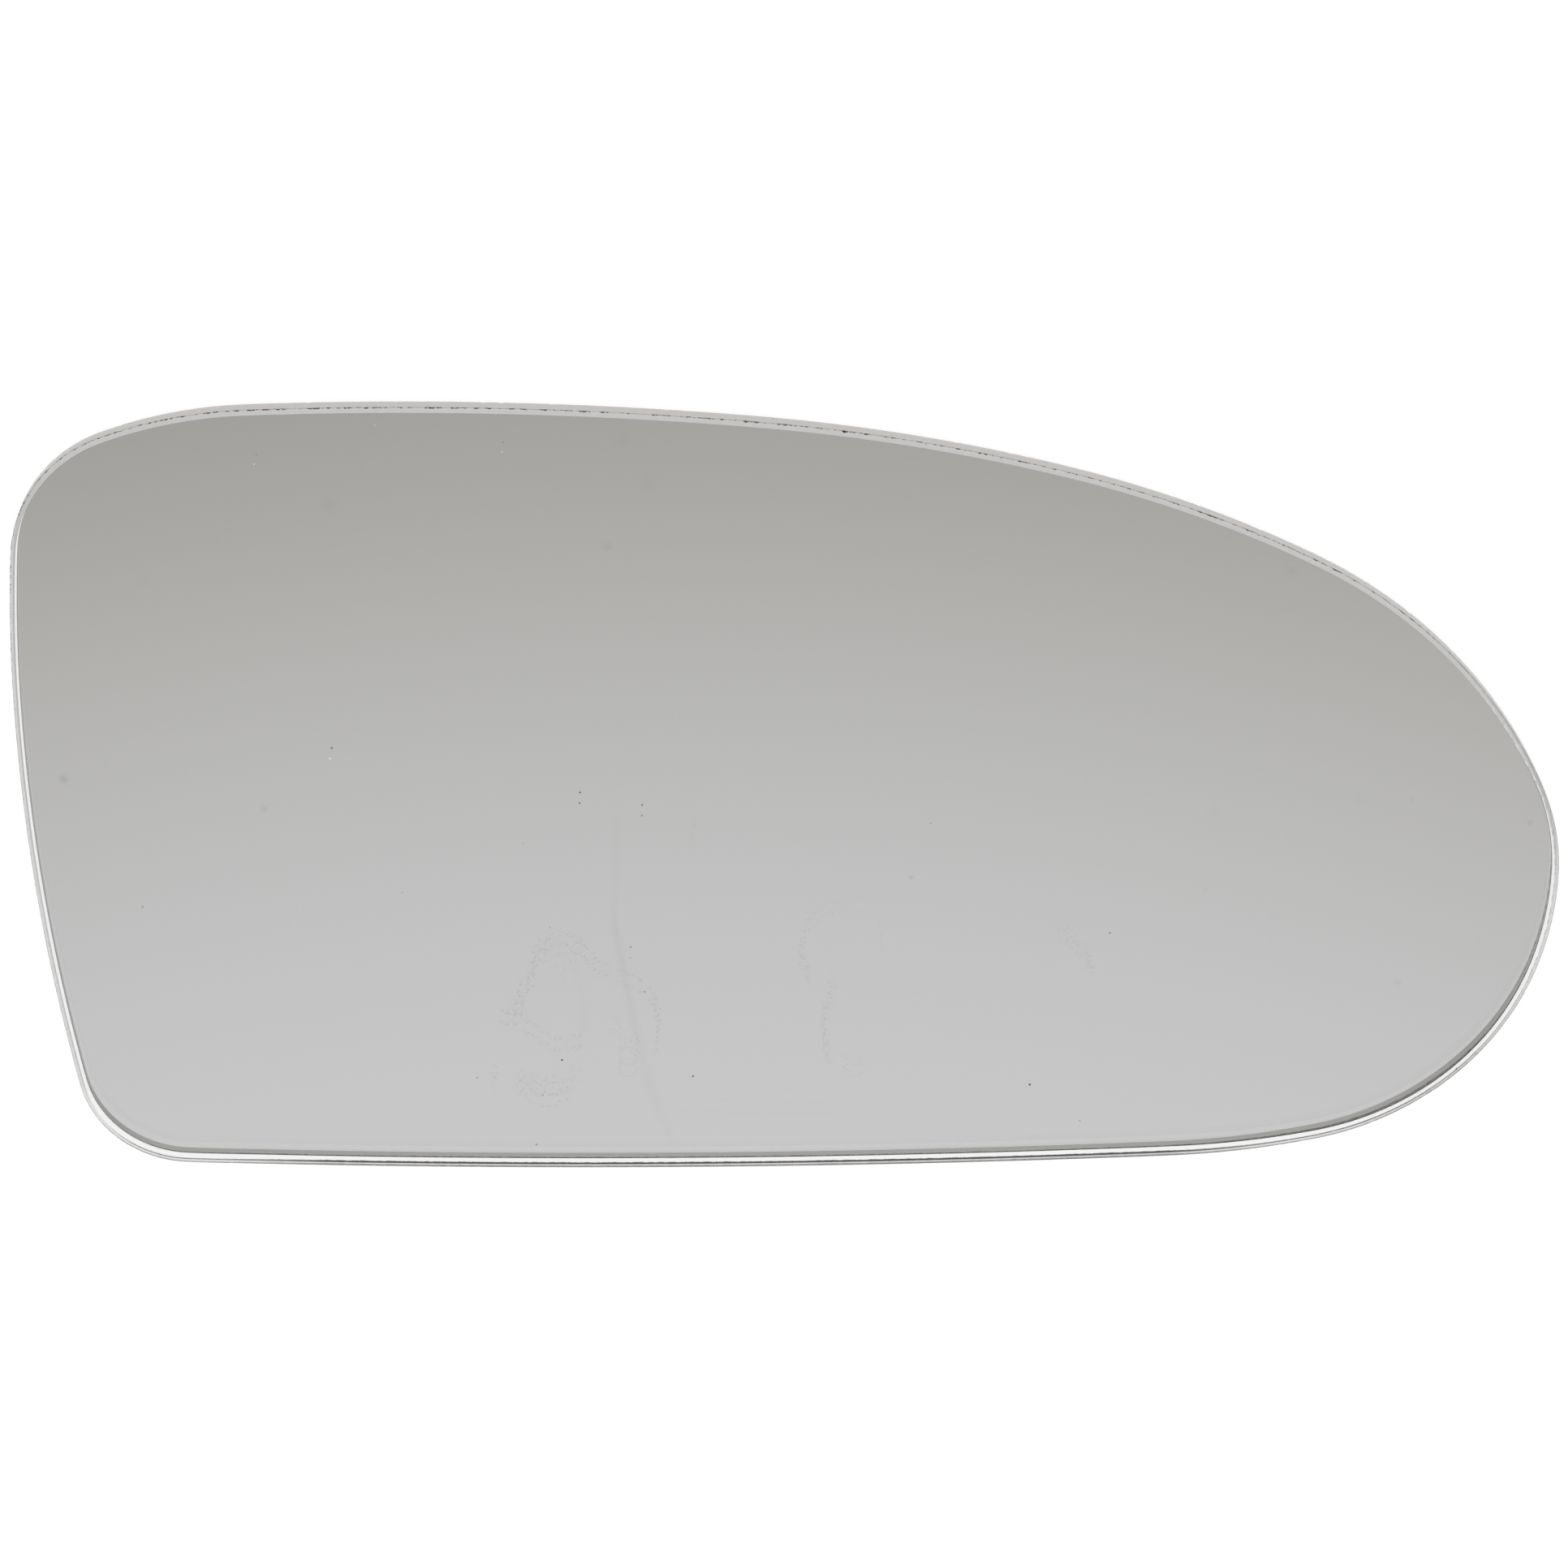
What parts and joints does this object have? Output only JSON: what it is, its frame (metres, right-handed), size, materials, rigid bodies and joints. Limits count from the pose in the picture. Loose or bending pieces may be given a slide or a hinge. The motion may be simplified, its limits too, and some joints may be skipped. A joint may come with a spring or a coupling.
{
  "type": "car door mirror glass",
  "caption": "Flat silvered mirror glass for a car door mirror, a broad rounded end tapering to a blunt tip, with both faces' edges ground off.",
  "frame": {"origin": "middle of the sheet's length and height, on the silvered back face that it lies on", "axes": "+X along the sheet from its broad end to its blunt tip, +Y towards the edge that slopes down to the tip, +Z out of the face that is looked at"},
  "size_m": [0.175, 0.0954, 0.0023],
  "materials": {
    "mirror_glass": "clear float glass silvered on its back, polished faces, matt ground edges with small chips"
  },
  "bodies": {
    "root": {"mirror_glass": "mirror_glass"}
  },
  "joints": []
}
